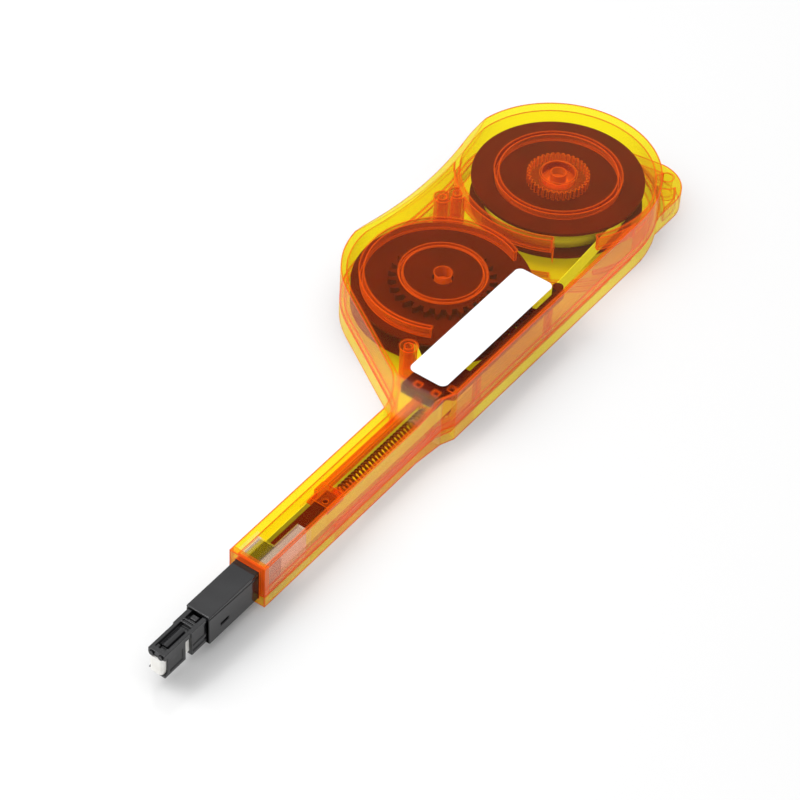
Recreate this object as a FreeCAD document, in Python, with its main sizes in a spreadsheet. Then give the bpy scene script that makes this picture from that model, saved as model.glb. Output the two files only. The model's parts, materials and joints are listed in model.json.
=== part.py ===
"""Push-type tape cleaner for multi-fibre connectors, as a parametric FreeCAD document.

Frame: +Z up, X along the barrel with the nozzle towards -X, Y across the body towards its two
reel chambers. The origin lies under the take-up reel's axis, on the barrel's centre plane, in the
plane that the body rests on. All sizes are in millimetres.
"""
import FreeCAD
import Part
import Sketcher
import math
import os
import re

Vector = FreeCAD.Vector
UP = Vector(0, 0, 1)
FULL_TURN = 360.0

# ---------------------------------------------------------------- driving dimensions
DIMENSIONS = {
    # housing
    "body_thickness": 18.0,
    "wall": 1.6,
    "parting_height": 5.8,
    "parting_groove": 0.25,
    "barrel_width": 11.7,
    "barrel_thickness": 14.4,
    "barrel_reach": 122.1,
    "ramp_foot": 54.9,
    "ramp_top": 43.7,
    "spine_offset": 7.6,
    "jog_start": 43.5,
    "jog_end": 39.2,
    "flank_angle": 57.8,
    "neck_radius": 16.0,
    "takeup_chamber": 29.5,
    "supply_chamber": 31.05,
    "tail_inset": 1.25,
    "tail_blend": 40.0,
    "waist_radius": 155.0,
    "scoop_radius": 117.0,
    "scoop_reach": 50.1,
    "scoop_slope": 34.0,
    "tail_reach": 33.7,
    "tail_side": 4.4,
    "tail_corner": 12.0,
    "tail_thickness": 6.5,
    "strap_hole_radius": 2.0,
    "strap_hole_inset": 3.4,
    "rib_thickness": 1.0,
    "chamber_lip": 5.0,
    "boss_radius": 2.5,
    # reels
    "takeup_y": 25.4,
    "supply_x": 58.2,
    "flange_thickness": 0.8,
    "takeup_flange": 26.5,
    "supply_flange": 26.1,
    "takeup_post": 3.0,
    "supply_post": 3.5,
    "takeup_hub": 7.0,
    "supply_hub": 8.0,
    "takeup_roll": 14.0,
    "supply_roll": 22.3,
    "dish_radius": 19.7,
    "dish_thickness": 1.0,
    "dish_rise": 0.7,
    "dish_depth": 1.4,
    "crown_radius": 9.5,
    "crown_bore": 5.6,
    "crown_height": 2.9,
    "crown_teeth": 36.0,
    # tape
    "tape_width": 5.5,
    "tape_bottom": 5.9,
    "tape_thickness": 0.2,
    "lane": 3.1,
    "tip_lane": 1.95,
    # gear train
    "gear_module": 1.1,
    "takeup_teeth": 27.0,
    "idler_teeth": 12.0,
    "gear_thickness": 2.0,
    "gear_backlash": 0.3,
    "idler_pin": 1.6,
    # rollers
    "roller_x": 36.0,
    "roller_radius": 1.9,
    "roller_rim": 2.4,
    "roller_pin": 0.8,
    # slider
    "stroke": 8.0,
    "bar_near": 3.0,
    "bar_width": 3.3,
    "bar_bottom": 12.4,
    "bar_thickness": 1.6,
    "plate_front": 44.0,
    "plate_length": 16.0,
    "plate_side": 8.0,
    "rack_bottom": 12.6,
    "rack_thickness": 3.2,
    "rack_width": 1.8,
    "rack_end": 18.0,
    # spring
    "spring_y": 0.4,
    "spring_radius": 2.0,
    "spring_wire": 0.45,
    "spring_back": 44.0,
    "spring_turns": 20.0,
    "seat_setback": 29.1,
    "seat_length": 7.0,
    "collar_length": 3.5,
    "rail_near": 0.8,
    "rail_width": 2.2,
    # nozzle
    "sleeve_width": 7.6,
    "sleeve_height": 10.0,
    "sleeve_wall": 0.6,
    "sleeve_reach": 20.2,
    "sleeve_length": 30.0,
    "cover_edge": 1.8,
    "cover_groove": 0.25,
    "guide_length": 17.9,
    "guide_collar": 8.0,
    "guide_arm": 3.0,
    # tip
    "tip_reach": 36.6,
    "tip_length": 33.7,
    "tip_width": 5.5,
    "tip_bottom": 4.9,
    "tip_top": 13.3,
    "front_block": 8.2,
    "tip_gap": 2.0,
    "tip_recess": 1.2,
    "nose_stand": 0.5,
    "nose_round": 0.9,
    "pin_spread": 1.5,
    "carrier_hold": 36.1,
    "carrier_thickness": 0.9,
    # label
    "label_front": 40.0,
    "label_length": 54.0,
    "label_near": 3.6,
    "label_width": 12.4,
    "label_thickness": 0.15,
    "label_corner": 2.0,
    # fits
    "running_fit": 0.06,
    "sliding_fit": 0.1,
    "free_gap": 0.3,
}

document = FreeCAD.newDocument("tape_cleaner")
sheet = document.addObject("Spreadsheet::Sheet", "Dims")
for row, (alias, value) in enumerate(DIMENSIONS.items(), start=1):
    sheet.set("A%d" % row, alias)
    sheet.set("B%d" % row, str(value))
    sheet.setAlias("B%d" % row, alias)
document.recompute()


def size(alias):
    """The value that the sheet holds for one driving dimension."""
    return float(sheet.get(alias))


def formula(text):
    """An expression on the sheet's aliases, as FreeCAD wants it."""
    return re.sub(r"[a-z_]{3,}", lambda word: "Dims." + word.group(0), text)


def bind(item, prop, text):
    item.setExpression(prop, formula(text))


def place(item, x="0", y="0", z="0"):
    bind(item, "Placement.Base.x", x)
    bind(item, "Placement.Base.y", y)
    bind(item, "Placement.Base.z", z)


# ---------------------------------------------------------------- document helpers
def cylinder(name, x, y, z, radius, height, direction=UP):
    item = document.addObject("Part::Cylinder", name)
    item.Placement.Rotation = FreeCAD.Rotation(UP, direction)
    bind(item, "Radius", radius)
    bind(item, "Height", height)
    place(item, x, y, z)
    return item


def fuse(name, pieces):
    item = document.addObject("Part::MultiFuse", name)
    item.Shapes = pieces
    item.Refine = True
    return item


def feature(name, shape):
    item = document.addObject("Part::Feature", name)
    item.Shape = shape
    return item


def sketch_on(body, role, name):
    sketch = body.newObject("Sketcher::SketchObject", name)
    plane = [part for part in body.Origin.OriginFeatures if part.Role == role][0]
    sketch.AttachmentSupport = [(plane, "")]
    sketch.MapMode = "FlatFace"
    return sketch


def draw_polygon(sketch, corners):
    """A closed polygon whose corners are bound to the sheet, each as an (x, y) pair of formulas."""
    count = len(corners)
    first = sketch.GeometryCount
    turn = 2 * math.pi / count
    ring = [Vector(math.cos(k * turn), math.sin(k * turn), 0) for k in range(count)]
    for k in range(count):
        sketch.addGeometry(Part.LineSegment(ring[k], ring[(k + 1) % count]), False)
    for k in range(count):
        edge = first + k
        after = first + (k + 1) % count
        sketch.addConstraint(Sketcher.Constraint("Coincident", edge, 2, after, 1))
    for k, corner in enumerate(corners):
        for kind, text in zip(("DistanceX", "DistanceY"), corner):
            index = sketch.addConstraint(Sketcher.Constraint(kind, -1, 1, first + k, 1, 1.0))
            bind(sketch, "Constraints[%d]" % index, text)


def turned(name, profile, x="0", y="0", z="0"):
    """A turned piece: a half profile of (radius, height) formulas, revolved about its own Z axis."""
    body = document.addObject("PartDesign::Body", name)
    sketch = sketch_on(body, "XZ_Plane", name + "_profile")
    draw_polygon(sketch, profile)
    spin = body.newObject("PartDesign::Revolution", name + "_turn")
    spin.Profile = sketch
    spin.ReferenceAxis = (sketch, ["V_Axis"])
    spin.Angle = FULL_TURN
    place(body, x, y, z)
    return body


def padded(name, outline, height, x="0", y="0", z="0", role="XY_Plane"):
    """A moulded plate: a polygon of formulas, padded along its plane's normal."""
    body = document.addObject("PartDesign::Body", name)
    sketch = sketch_on(body, role, name + "_outline")
    draw_polygon(sketch, outline)
    pad = body.newObject("PartDesign::Pad", name + "_pad")
    pad.Profile = sketch
    bind(pad, "Length", height)
    place(body, x, y, z)
    return body


# ---------------------------------------------------------------- housing outline
def polar(centre, radius, degrees):
    turn = math.radians(degrees)
    return centre + Vector(radius * math.cos(turn), radius * math.sin(turn), 0)


def bearing(start, end):
    return math.degrees(math.atan2(end.y - start.y, end.x - start.x))


def arc_between(centre, radius, start, end):
    """The arc from one angle to the other, in degrees, the way the angles run."""
    middle = polar(centre, radius, (start + end) / 2)
    return Part.Arc(polar(centre, radius, start), middle, polar(centre, radius, end)).toShape()


def line(start, end):
    return Part.LineSegment(start, end).toShape()


def plan_outline():
    """Plan of the whole housing: barrel, neck, spine, both reel chambers and the waist."""
    reach = -size("barrel_reach")
    side = size("barrel_width") / 2
    spine = -size("spine_offset")
    takeup = Vector(0, size("takeup_y"), 0)
    takeup_radius = size("takeup_chamber")
    supply_radius = size("supply_chamber")
    supply = Vector(size("supply_x"), supply_radius + size("tail_inset") + spine, 0)

    # a wide arc leads from the spine into the supply chamber and is tangent to both
    blend = size("tail_blend")
    spread = size("tail_inset") * (2 * (blend - supply_radius) - size("tail_inset"))
    blend_centre = Vector(supply.x - math.sqrt(spread), spine + blend, 0)
    blend_end = bearing(blend_centre, supply)

    # the waist arc touches both chambers from outside
    waist = size("waist_radius")
    span = (supply - takeup).Length
    left = takeup_radius + waist
    right = supply_radius + waist
    along = (left ** 2 - right ** 2 + span ** 2) / (2 * span)
    tilt = bearing(takeup, supply)
    waist_centre = polar(polar(takeup, along, tilt), math.sqrt(left ** 2 - along ** 2), tilt + 90)
    to_supply = bearing(waist_centre, supply)
    to_takeup = bearing(waist_centre, takeup)

    # the flank is tangent to the take-up chamber and runs into the barrel through a hollow curve
    flank = size("flank_angle")
    shoulder = polar(takeup, takeup_radius, flank + 90)
    slope = math.tan(math.radians(flank))
    meeting = Vector(shoulder.x - (shoulder.y - side) / slope, side, 0)
    neck = size("neck_radius")
    run = neck * math.tan(math.radians(flank / 2))
    neck_centre = Vector(meeting.x - run, side + neck, 0)

    near_front = Vector(reach, -side, 0)
    far_front = Vector(reach, side, 0)
    jog_start = Vector(-size("jog_start"), -side, 0)
    jog_end = Vector(-size("jog_end"), spine, 0)
    spine_end = Vector(blend_centre.x, spine, 0)
    return Part.Wire([
        line(near_front, jog_start),
        line(jog_start, jog_end),
        line(jog_end, spine_end),
        arc_between(blend_centre, blend, -90, blend_end),
        arc_between(supply, supply_radius, blend_end, to_supply + 180),
        arc_between(waist_centre, waist, to_supply, to_takeup),
        arc_between(takeup, takeup_radius, to_takeup + 180, flank + 90),
        line(shoulder, polar(neck_centre, neck, flank - 90)),
        arc_between(neck_centre, neck, flank - 90, -90),
        line(Vector(meeting.x - run, side, 0), far_front),
        line(far_front, near_front),
    ])


def side_outline(inset):
    """Side view of the housing, drawn inwards by an inset: the ramps keep their own wall."""
    middle = size("body_thickness") / 2
    barrel = size("barrel_thickness") / 2 - inset
    rear = middle - inset
    front = -size("barrel_reach") - 1.0
    back = size("supply_x") + 2 * size("supply_chamber")
    low = -size("ramp_foot")
    high = -size("ramp_top")
    half = [(front, barrel), (low, barrel), (high, rear), (back, rear)]
    corners = [Vector(x, 0, middle + rise) for x, rise in half]
    corners += [Vector(x, 0, middle - rise) for x, rise in reversed(half)]
    return Part.makePolygon(corners + corners[:1])


def housing_block(inset):
    """The housing's outer form, or with an inset the space inside it."""
    plan = Part.Face(plan_outline())
    if inset:
        plan = plan.makeOffset2D(-inset)
    depth = 4 * size("supply_chamber")
    tall = plan.extrude(Vector(0, 0, size("body_thickness")))
    wide = Part.Face(side_outline(inset)).extrude(Vector(0, 2 * depth, 0))
    wide.translate(Vector(0, -depth, 0))
    block = tall.common(wide)
    return block.cut(scoop(inset))


def scoop(inset):
    """The sloping finger scoop over the waist: a wide upright cone that shaves the lid's edge."""
    slope = math.tan(math.radians(size("scoop_slope")))
    depth = 3 * size("wall")
    top = size("body_thickness")
    radius = size("scoop_radius") + inset / math.cos(math.radians(90 - size("scoop_slope")))
    centre = Vector(size("supply_x") / 2, size("scoop_reach") + size("scoop_radius"), top - depth)
    return Part.makeCone(radius - depth / slope, radius, depth, centre, UP)


def half_space(low, high):
    reach = 8 * size("supply_chamber")
    return Part.makeBox(2 * reach, 2 * reach, high - low, Vector(-reach, -reach, low))


# ---------------------------------------------------------------- levels and places
top = size("body_thickness")
wall = size("wall")
rib = size("rib_thickness")
gap = size("free_gap")
slide = size("sliding_fit")
parting = size("parting_height")
floor = wall
lid = top - wall
middle = top / 2
barrel_floor = middle - size("barrel_thickness") / 2 + wall
barrel_lid = middle + size("barrel_thickness") / 2 - wall
inner_side = size("barrel_width") / 2 - wall
spine = -size("spine_offset")

takeup_y = size("takeup_y")
supply_x = size("supply_x")
supply_y = size("supply_chamber") + size("tail_inset") + spine

tape_bottom = size("tape_bottom")
tape_top = tape_bottom + size("tape_width")
reel_floor = tape_bottom - slide - size("flange_thickness")
flange_low = tape_top + slide
flange_top = flange_low + size("flange_thickness")
gear_top = flange_top + size("gear_thickness")
dish_low = flange_low + size("dish_rise")
dish_floor = dish_low + size("dish_thickness")

module = size("gear_module")
idler_y = takeup_y - module * (size("takeup_teeth") + size("idler_teeth")) / 2
rack_pitch_y = idler_y - module * size("idler_teeth") / 2
idler_low = flange_top + gap

half_tape = size("tape_thickness") / 2
lane = size("lane")
tip_lane = size("tip_lane")
roller_x = -size("roller_x")
roller_orbit = size("roller_radius") + slide + half_tape
feed_roller_y = roller_orbit - lane
return_roller_y = roller_orbit + lane

bar_bottom = size("bar_bottom")
bar_top = bar_bottom + size("bar_thickness")
bar_near = -size("bar_near")
bar_far = bar_near + size("bar_width")
rack_bottom = size("rack_bottom")
rack_top = rack_bottom + size("rack_thickness")
rack_back = rack_pitch_y - 1.15 * module
rack_near = rack_back - size("rack_width")
plate_front = -size("plate_front")
plate_back = plate_front + size("plate_length")
spring_y = -size("spring_y")
spring_back = -size("spring_back")

mouth = -size("barrel_reach")
guide_front = mouth + wall + slide
guide_back = guide_front + size("guide_length")
sleeve_front = mouth - size("sleeve_reach")
sleeve_back = sleeve_front + size("sleeve_length")
seat_front = mouth + size("seat_setback")
seat_back = seat_front + size("seat_length")
spring_front = seat_back + size("collar_length")
carrier_end = mouth + size("carrier_hold")
tip_front = mouth - size("tip_reach")
tip_back = tip_front + size("tip_length")
gap_front = tip_front + size("front_block")
gap_back = gap_front + size("tip_gap")

spigot_radius = size("spring_radius") - size("spring_wire") - gap
# places of the small posts, and the angles between which the ring walls run
WAIST_POSTS = ((27.0, 45.0), (31.2, 42.6))
SLOT_POST = (-31.0, 14.9)
LID_PADS = ((-41.7, 3.9), (-41.5, -2.0), (-37.4, -4.5))
LONG_RIB = (-28, 208)
FLOOR_STEPS = (200, 248)
CHAMBER_WALLS = ((104, 211), (236, 292))
TONGUE = math.radians(31)
STRAP_HOLE = -27


def slab(x_low, x_high, y_low, y_high, z_low, z_high):
    return Part.makeBox(x_high - x_low, y_high - y_low, z_high - z_low, Vector(x_low, y_low, z_low))


def tube(x, y, low, high, outer, inner=0.0):
    """An upright boss, or a ring wall."""
    base = Vector(x, y, low)
    ring = Part.makeCylinder(outer, high - low, base)
    if inner:
        ring = ring.cut(Part.makeCylinder(inner, high - low, base))
    return ring


def ring_part(x, y, low, high, outer, inner, start, end):
    """Part of a ring wall, between two angles in degrees."""
    base = Vector(x, y, low)
    wedge = Part.makeCylinder(outer, high - low, base, UP, end - start)
    wedge.rotate(base, UP, start)
    return wedge.cut(Part.makeCylinder(inner, high - low, base))


def rod(x_low, x_high, y, z, radius):
    """A round bar along X."""
    return Part.makeCylinder(radius, x_high - x_low, Vector(x_low, y, z), Vector(1, 0, 0))


def plate(corners, low, high):
    """An upright prism over a polygon of (x, y) corners."""
    points = [Vector(x, y, low) for x, y in corners]
    return Part.Face(Part.makePolygon(points + points[:1])).extrude(Vector(0, 0, high - low))


# ---------------------------------------------------------------- housing shells
def tab_outline(inset):
    """Plan of the strap tab between the spine and the supply chamber, drawn inwards by an inset."""
    right = supply_x + size("tail_reach") - inset
    near = inset - size("tail_side")
    corner = size("tail_corner")
    centre = Vector(supply_x + size("tail_reach") - corner, corner - size("tail_side"), 0)
    corner -= inset
    meet = polar(Vector(supply_x, supply_y, 0), size("supply_chamber"), 8) - Vector(inset, inset, 0)
    return Part.Face(Part.Wire([
        line(Vector(supply_x, near, 0), Vector(centre.x, near, 0)),
        arc_between(centre, corner, -90, 0),
        line(Vector(right, centre.y, 0), meet),
        line(meet, Vector(supply_x, meet.y, 0)),
        line(Vector(supply_x, meet.y, 0), Vector(supply_x, near, 0)),
    ]))


def tail_tab():
    """The low strap tab, hollow below, with a boss round its hole."""
    height = size("tail_thickness")
    tab = tab_outline(0).extrude(Vector(0, 0, height))
    hollow = tab_outline(wall).extrude(Vector(0, 0, height - wall))
    chamber = size("supply_chamber")
    x, y = strap_hole_centre()
    tab = tab.cut(hollow.cut(tube(supply_x, supply_y, 0, height, chamber + wall)))
    tab = tab.cut(housing_block(0))
    boss = tube(x, y, 0, height, size("strap_hole_radius") + wall)
    return tab.fuse(boss.common(tab_outline(0).extrude(Vector(0, 0, height))).cut(housing_block(0)))


def strap_hole_centre():
    corner = size("tail_corner")
    centre = Vector(supply_x + size("tail_reach") - corner, corner - size("tail_side"), 0)
    spot = polar(centre, corner - size("strap_hole_inset"), STRAP_HOLE)
    return spot.x, spot.y


def chamber_wall(low, high):
    """The ring lip that bounds the supply chamber inside the body, open where the tape leaves."""
    outer = size("supply_chamber")
    inner = outer - wall + gap
    pieces = [ring_part(supply_x, supply_y, low, high, outer, inner, start, end)
              for start, end in CHAMBER_WALLS]
    x, y = supply_x - outer * math.cos(TONGUE), supply_y - outer * math.sin(TONGUE)
    tongue = [(x, y), (x + rib, y + rib), (x - 3 * rib, y - 2 * rib), (x - 4 * rib, y - 3 * rib)]
    pieces.append(plate(tongue, low, high))
    return pieces


def nozzle_mouth():
    """The opening in the barrel's front wall that the nozzle sleeve slides through."""
    half_width = size("sleeve_width") / 2 + slide
    half_height = size("sleeve_height") / 2 + slide
    return slab(mouth, mouth + 2 * wall, -half_width, half_width,
                middle - half_height, middle + half_height)


def spring_stop():
    """The post behind the spring, with the spigot that holds the spring's end."""
    half = size("spring_radius") + slide
    post = slab(spring_back, spring_back + wall, spring_y - half, spring_y + half, wall / 2, tape_top)
    return [post, rod(spring_back - 5 * rib, spring_back, spring_y, middle, spigot_radius)]


def lower_shell():
    shell = housing_block(0).common(half_space(0, parting)).fuse(tail_tab())
    shell = shell.cut(housing_block(wall).common(half_space(0, parting)))
    extras = chamber_wall(floor, floor + rib) + spring_stop()
    hubs = (
        (0, takeup_y, size("takeup_hub"), size("takeup_post"), flange_top),
        (supply_x, supply_y, size("supply_hub"), size("supply_post"), dish_floor - gap),
    )
    for x, y, hub, post, height in hubs:
        extras.append(tube(x, y, floor, reel_floor - slide, hub, hub - wall))
        extras.append(tube(x, y, floor, height, post))
    for x, y in WAIST_POSTS + (SLOT_POST,):
        extras.append(tube(x, y, floor, parting, size("boss_radius")))
    for y in (feed_roller_y, return_roller_y):
        extras.append(tube(roller_x, y, floor, reel_floor - slide, size("roller_radius")))
    # low curved ridges on the floor beside the supply chamber
    for step in (1, 2, 3):
        edge = size("supply_chamber") + 2 * step * rib
        ridge = ring_part(supply_x, supply_y, wall / 2, floor + gap, edge, edge - rib, *FLOOR_STEPS)
        extras.append(ridge.common(housing_block(wall / 2)))
    # saddles under the tip's carrier, and rests under the rack bar
    for x in (carrier_end - 2 * wall, carrier_end - 9 * wall):
        extras.append(slab(x, x + wall, -tip_lane, tip_lane, barrel_floor, size("tip_bottom")))
    for x in (plate_back + wall, size("rack_end") / 2):
        extras.append(slab(x, x + wall, spine + wall + slide, rack_back - gap, floor, rack_bottom - slide))
    shell = shell.fuse(extras)
    x, y = strap_hole_centre()
    shell = shell.cut(tube(x, y, 0, size("tail_thickness"), size("strap_hole_radius")))
    for y in (feed_roller_y, return_roller_y):
        bore = size("roller_pin") + size("running_fit") / 2
        shell = shell.cut(tube(roller_x, y, floor, reel_floor, bore))
    # the fine groove that marks the parting line
    groove = size("parting_groove")
    band = half_space(parting - groove, parting)
    shell = shell.cut(housing_block(0).cut(housing_block(groove)).common(band))
    return shell.cut(nozzle_mouth()).removeSplitter()


def upper_shell():
    shell = housing_block(0).common(half_space(parting, top))
    shell = shell.cut(housing_block(wall).common(half_space(parting, top)))
    post = size("boss_radius")
    ring = size("takeup_roll") - 4 * gap
    arc = size("takeup_flange") - 2 * post / 2
    dip = size("dish_radius") - 2 * gap
    extras = chamber_wall(lid - size("chamber_lip"), lid) + [
        # guide ribs over the take-up reel, the long one open towards the rack
        tube(0, takeup_y, gear_top + 4 * gap, lid, ring, ring - rib),
        ring_part(0, takeup_y, flange_top + gap, lid, arc, arc - rib, *LONG_RIB),
        tube(0, takeup_y, flange_top + gap, lid, post),
        # ring that dips into the supply reel's dish, and the boss at its centre
        tube(supply_x, supply_y, dish_floor + gap, lid, dip, dip - rib),
        tube(supply_x, supply_y, dish_floor + gap, lid, size("crown_bore") - 2 * gap, post),
        # shoulder and pin of the idler gear
        tube(0, idler_y, gear_top + slide, lid, post),
        tube(0, idler_y, idler_low, lid, size("idler_pin")),
    ]
    for x, y in WAIST_POSTS + (SLOT_POST,):
        extras.append(tube(x, y, parting, lid, post, post - rib))
    for x, y in LID_PADS:
        extras.append(slab(x - rib, x + rib, y - rib, y + rib, rack_top + slide, lid))
    return shell.fuse(extras).cut(nozzle_mouth()).removeSplitter()


# ---------------------------------------------------------------- gears and rack
PRESSURE = math.radians(20)
ADDENDUM = 0.9
DEDENDUM = 1.15
INVOLUTE_STEPS = 2


def gear_outline(teeth, phase):
    """Involute gear outline about the origin, with one tooth centred on the phase angle."""
    pitch = module * teeth / 2
    base = pitch * math.cos(PRESSURE)
    tip = pitch + ADDENDUM * module
    root = pitch - DEDENDUM * module
    half_tooth = math.pi / (2 * teeth) - size("gear_backlash") / (2 * pitch)

    def involute(radius):
        angle = math.acos(min(1.0, base / radius))
        return math.tan(angle) - angle

    start = max(base, root)
    radii = [start + (tip - start) * step / INVOLUTE_STEPS for step in range(INVOLUTE_STEPS + 1)]
    offset = half_tooth + involute(pitch)
    flank = [(radius, offset - involute(radius)) for radius in radii]
    if root < base:
        flank.insert(0, (root, flank[0][1]))
    corners = []
    for tooth in range(int(teeth)):
        centre = phase + tooth * 2 * math.pi / teeth
        corners += [(radius, centre - spread) for radius, spread in flank]
        corners += [(radius, centre + spread) for radius, spread in reversed(flank)]
    return [(radius * math.cos(turn), radius * math.sin(turn)) for radius, turn in corners]


def gear(name, teeth, phase, x, y, low, high, bore):
    solid = plate(gear_outline(teeth, phase), 0, high - low)
    item = feature(name, solid.cut(Part.makeCylinder(bore, high - low)))
    item.Placement.Base = Vector(x, y, low)
    return item


def rack_teeth(first, last):
    """Rack teeth along X that point at the idler, with a gap centred under the idler's axis."""
    pitch = math.pi * module
    lean = math.tan(PRESSURE)
    half = pitch / 4 - size("gear_backlash") / 2
    up = ADDENDUM * module
    down = DEDENDUM * module
    teeth = []
    for step in range(first, last):
        x = (step + 0.5) * pitch
        teeth.append(plate([
            (x - half - down * lean, rack_pitch_y - down), (x + half + down * lean, rack_pitch_y - down),
            (x + half - up * lean, rack_pitch_y + up), (x - half + up * lean, rack_pitch_y + up),
        ], idler_low, gear_top))
    return teeth


# ---------------------------------------------------------------- slider and nozzle sleeve
def slider_bar():
    """The black bar from the tongue in the sleeve to the carriage."""
    tongue_top = middle + size("sleeve_height") / 2 - size("sleeve_wall")
    bar = slab(sleeve_back, seat_back - wall, bar_near, bar_far, bar_bottom, bar_top)
    tongue = slab(sleeve_back - 4 * wall, sleeve_back, bar_near, bar_far, bar_bottom, tongue_top)
    return feature("slider_bar", bar.fuse(tongue).removeSplitter())


def rack_bar():
    """The black neck plate behind the carriage, with the rack and its hooked end."""
    neck = rack_back + rib
    hook = size("rack_end")
    jog = -size("jog_end")
    far = size("plate_side")
    first = -1 - math.ceil(size("stroke") / (math.pi * module))
    bar = plate([(plate_front, bar_near), (jog, bar_near), (jog + wall, rack_near), (plate_back, rack_near),
                 (plate_back, far - 2 * wall), (plate_back - 2 * wall, far), (plate_front, far)],
                rack_bottom, rack_top)
    pieces = [
        slab(plate_back, hook - wall, rack_near, rack_back, rack_bottom, rack_top),
        tube(hook - wall, (rack_back + neck) / 2, rack_bottom, rack_top, wall),
    ]
    return feature("rack_bar", bar.fuse(pieces + rack_teeth(first, 2)).removeSplitter())


def spring_seat():
    """The carriage: a clip round the bar, a seat for the spring and a rail back to the neck plate."""
    half = size("spring_radius") + slide
    rail_near = size("rail_near")
    rail_far = rail_near + size("rail_width")
    cap_top = bar_top + gap
    seat = slab(seat_front, seat_back, bar_near - rib, rail_far, tape_top + gap, cap_top)
    seat = seat.fuse([
        slab(seat_front, seat_back, spring_y - half, spring_y + half, middle - half, tape_top + gap),
        rod(seat_back, spring_front, spring_y, middle, half),
        rod(spring_front, spring_front + 5 * rib, spring_y, middle, spigot_radius),
        slab(seat_back, plate_front, rail_near, rail_far, bar_bottom, bar_top),
    ])
    # pocket for the bar, a notch in the cap's far corner and the latch hole
    seat = seat.cut([
        slab(seat_front, seat_back - wall, bar_near, bar_far, bar_bottom, bar_top),
        slab(seat_front, seat_front + 2 * wall, rail_near + rib, rail_far, bar_bottom, cap_top),
        tube(seat_front + wall, bar_near + rib, middle, top, wall / 2),
    ])
    return feature("spring_seat", seat.removeSplitter())


def sleeve_block(low, high, inset):
    half = size("sleeve_width") / 2 - inset
    return slab(sleeve_front, sleeve_back, -half, half, low, high)


def cover_side(drop):
    """The space above the sloping split between sleeve and cover, lowered by a drop."""
    high = middle + size("sleeve_height") / 2
    front_split = high - size("sleeve_wall") - drop
    back_split = high - size("cover_edge") - drop
    side = size("sleeve_width")
    corners = [Vector(sleeve_front, -side, front_split), Vector(sleeve_back, -side, back_split),
               Vector(sleeve_back, -side, top), Vector(sleeve_front, -side, top)]
    return Part.Face(Part.makePolygon(corners + corners[:1])).extrude(Vector(0, 2 * side, 0))


def sleeve_tube():
    half = size("sleeve_height") / 2
    skin = size("sleeve_wall")
    outer = sleeve_block(middle - half, middle + half, 0)
    return outer.cut(sleeve_block(middle - half + skin, middle + half - skin, skin))


def nozzle_sleeve():
    """The channel that slides over the tip, open at the top for its cover."""
    half = size("sleeve_height") / 2
    low = middle - half
    high = middle + half
    groove = size("cover_groove")
    rim = sleeve_block(low, high, 0).cut(sleeve_block(low, high, groove))
    slot_front = sleeve_front + 3 * wall
    slot = slab(slot_front, slot_front + 2 * wall, -size("sleeve_width"), 0, middle - 2 * rib, middle - rib)
    channel = sleeve_tube().cut([cover_side(0), rim.common(cover_side(groove)), slot])
    return feature("nozzle_sleeve", channel.removeSplitter())


def sleeve_cover():
    """The cover, whose side edges slope down towards the barrel."""
    return feature("sleeve_cover", sleeve_tube().common(cover_side(0)).removeSplitter())


def front_guide():
    """The clear insert that guides the sleeve: a collar in the mouth, and an arm along one corner."""
    half_width = size("sleeve_width") / 2 + slide
    half_height = size("sleeve_height") / 2 + slide
    tall = barrel_lid - middle
    collar_end = guide_front + size("guide_collar")
    low = middle - tall
    high = middle + tall
    block = slab(guide_front, guide_back, -inner_side, inner_side, low, high)
    return feature("front_guide", block.cut([
        slab(guide_front, guide_back, -half_width, half_width, middle - half_height, middle + half_height),
        slab(collar_end, guide_back, size("guide_arm") - inner_side, inner_side, low, high),
        slab(collar_end, guide_back, -inner_side, inner_side, low, middle - half_height),
    ]).removeSplitter())


# ---------------------------------------------------------------- tip
def foot_cut(low, high):
    """What the front ends of the tip's side walls lose, with a round corner above the foot."""
    radius = size("tip_recess")
    reach = size("tip_width")
    centre = Vector(tip_front, -reach, low + radius)
    return [slab(tip_front, tip_front + radius, -reach, reach, low + radius, high),
            Part.makeCylinder(radius, 2 * reach, centre, Vector(0, 1, 0))]


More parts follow.
